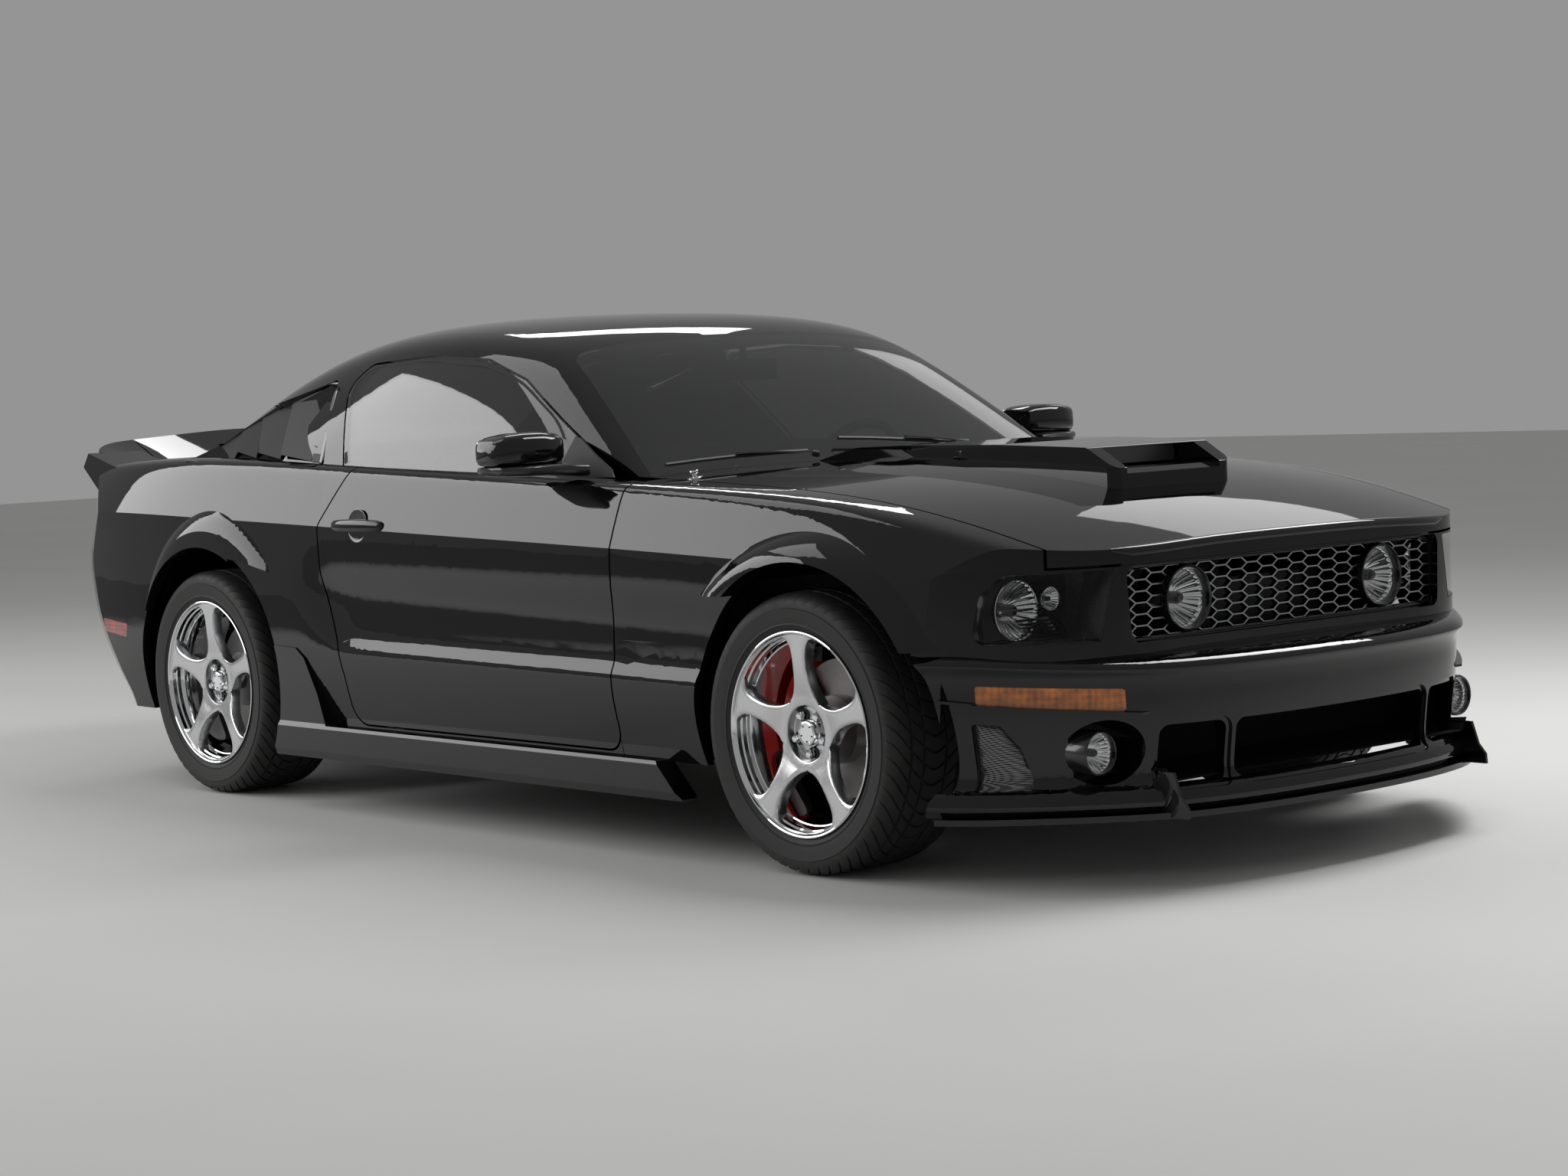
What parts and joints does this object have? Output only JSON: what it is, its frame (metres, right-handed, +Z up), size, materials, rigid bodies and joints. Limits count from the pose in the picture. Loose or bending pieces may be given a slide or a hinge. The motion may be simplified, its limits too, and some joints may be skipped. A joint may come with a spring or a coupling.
{
  "type": "muscle car",
  "caption": "Two-door fastback muscle car with a body kit; doors, hood, deck lid, steering and wheels move.",
  "frame": {"origin": "on the ground under the middle of the whole car", "axes": "+X forward, +Y to the left, +Z up"},
  "size_m": [4.7054, 2.124, 1.3914],
  "materials": {
    "amber_lens": "clear amber",
    "black_trim": "satin",
    "body_paint": "gloss black",
    "brake_iron": "turned",
    "cabin_plastic": "grained",
    "chassis_metal": "satin black",
    "chrome_rim": "polished",
    "engine_metal": "cast",
    "exhaust_steel": "brushed",
    "lamp_glass": "clear",
    "red_caliper": "gloss",
    "red_lens": "clear red",
    "seat_leather": "grained",
    "tinted_glass": "tinted",
    "tyre": "matt"
  },
  "bodies": {
    "root": {"arch_flares": "body_paint", "body_sides": "body_paint", "bulkhead_cowl": "body_paint", "cabin_mirror": "black_trim", "chin_spoiler": "body_paint", "dashboard": "cabin_plastic", "engine_block": "engine_metal", "exhaust_system": "exhaust_steel", "floor_pan": "body_paint", "fog_lamps": "lamp_glass", "front_bumper": "body_paint", "front_fenders": "body_paint", "front_seats": "seat_leather", "front_suspension": "chassis_metal", "fuel_tank": "black_trim", "grille": "black_trim", "headlamps": "lamp_glass", "nose_panel": "body_paint", "quarter_louvres": "black_trim", "radiator": "black_trim", "rear_axle": "chassis_metal", "rear_bumper": "body_paint", "rear_seat": "seat_leather", "rear_window": "tinted_glass", "roof_panel": "body_paint", "round_lamps": "lamp_glass", "side_skirts": "body_paint", "spoiler_ends": "body_paint", "tail_lamps": "red_lens", "turn_lamps": "amber_lens", "windshield": "tinted_glass", "wipers": "black_trim"},
    "door_right": {"door_right": "body_paint", "door_glass_right": "tinted_glass", "door_mirror_right": "body_paint"},
    "door_left": {"door_left": "body_paint", "door_glass_left": "tinted_glass", "door_mirror_left": "body_paint"},
    "hood": {"hood": "body_paint", "hood_scoop": "body_paint"},
    "decklid": {"decklid": "body_paint", "spoiler": "body_paint"},
    "steering_wheel": {"steering_wheel": "cabin_plastic"},
    "knuckle_right": {"front_knuckle_right": "chassis_metal", "front_caliper_right": "red_caliper"},
    "wheel_front_right": {"rim_front_right": "chrome_rim", "tyre_front_right": "tyre", "brake_disc_front_right": "brake_iron"},
    "wheel_rear_right": {"rim_rear_right": "chrome_rim", "tyre_rear_right": "tyre", "brake_disc_rear_right": "brake_iron"},
    "knuckle_left": {"front_knuckle_left": "chassis_metal", "front_caliper_left": "red_caliper"},
    "wheel_front_left": {"rim_front_left": "chrome_rim", "tyre_front_left": "tyre", "brake_disc_front_left": "brake_iron"},
    "wheel_rear_left": {"rim_rear_left": "chrome_rim", "tyre_rear_left": "tyre", "brake_disc_rear_left": "brake_iron"}
  },
  "joints": [
    {"name": "door_right_hinge", "type": "hinge", "parent": "root", "child": "door_right", "pos_m": [0.73704, -0.931, 0.6], "axis": [0, 0, 1], "range_deg": [0, 62]},
    {"name": "door_left_hinge", "type": "hinge", "parent": "root", "child": "door_left", "pos_m": [0.73704, 0.931, 0.6], "axis": [0, 0, -1], "range_deg": [0, 62]},
    {"name": "hood_hinge", "type": "hinge", "parent": "root", "child": "hood", "pos_m": [0.736, 0, 0.962], "axis": [0, -1, 0], "range_deg": [0, 45]},
    {"name": "decklid_hinge", "type": "hinge", "parent": "root", "child": "decklid", "pos_m": [-1.756, 0, 1.024], "axis": [0, 1, 0], "range_deg": [0, 65]},
    {"name": "steer_left", "type": "hinge", "parent": "root", "child": "knuckle_left", "pos_m": [1.431, 0.644, 0.338], "axis": [0, 0, 1], "range_deg": [-32, 32]},
    {"name": "wheel_front_left_spin", "type": "hinge", "parent": "knuckle_left", "child": "wheel_front_left", "pos_m": [1.431, 0.794, 0.338], "axis": [0, 1, 0], "continuous": true},
    {"name": "wheel_rear_left_spin", "type": "hinge", "parent": "root", "child": "wheel_rear_left", "pos_m": [-1.289, 0.794, 0.338], "axis": [0, 1, 0], "continuous": true},
    {"name": "steer_right", "type": "hinge", "parent": "root", "child": "knuckle_right", "pos_m": [1.431, -0.644, 0.338], "axis": [0, 0, 1], "range_deg": [-32, 32]},
    {"name": "wheel_front_right_spin", "type": "hinge", "parent": "knuckle_right", "child": "wheel_front_right", "pos_m": [1.431, -0.794, 0.338], "axis": [0, 1, 0], "continuous": true},
    {"name": "wheel_rear_right_spin", "type": "hinge", "parent": "root", "child": "wheel_rear_right", "pos_m": [-1.289, -0.794, 0.338], "axis": [0, 1, 0], "continuous": true},
    {"name": "steering_wheel_turn", "type": "hinge", "parent": "root", "child": "steering_wheel", "pos_m": [0.23116, 0.3754, 0.8748], "axis": [0.9135, 0, -0.4067], "range_deg": [-496, 496]}
  ],
  "couplings": [
    {"joint": "steer_right", "follows": "steer_left", "ratio": 1},
    {"joint": "steering_wheel_turn", "follows": "steer_left", "ratio": -15.5}
  ]
}
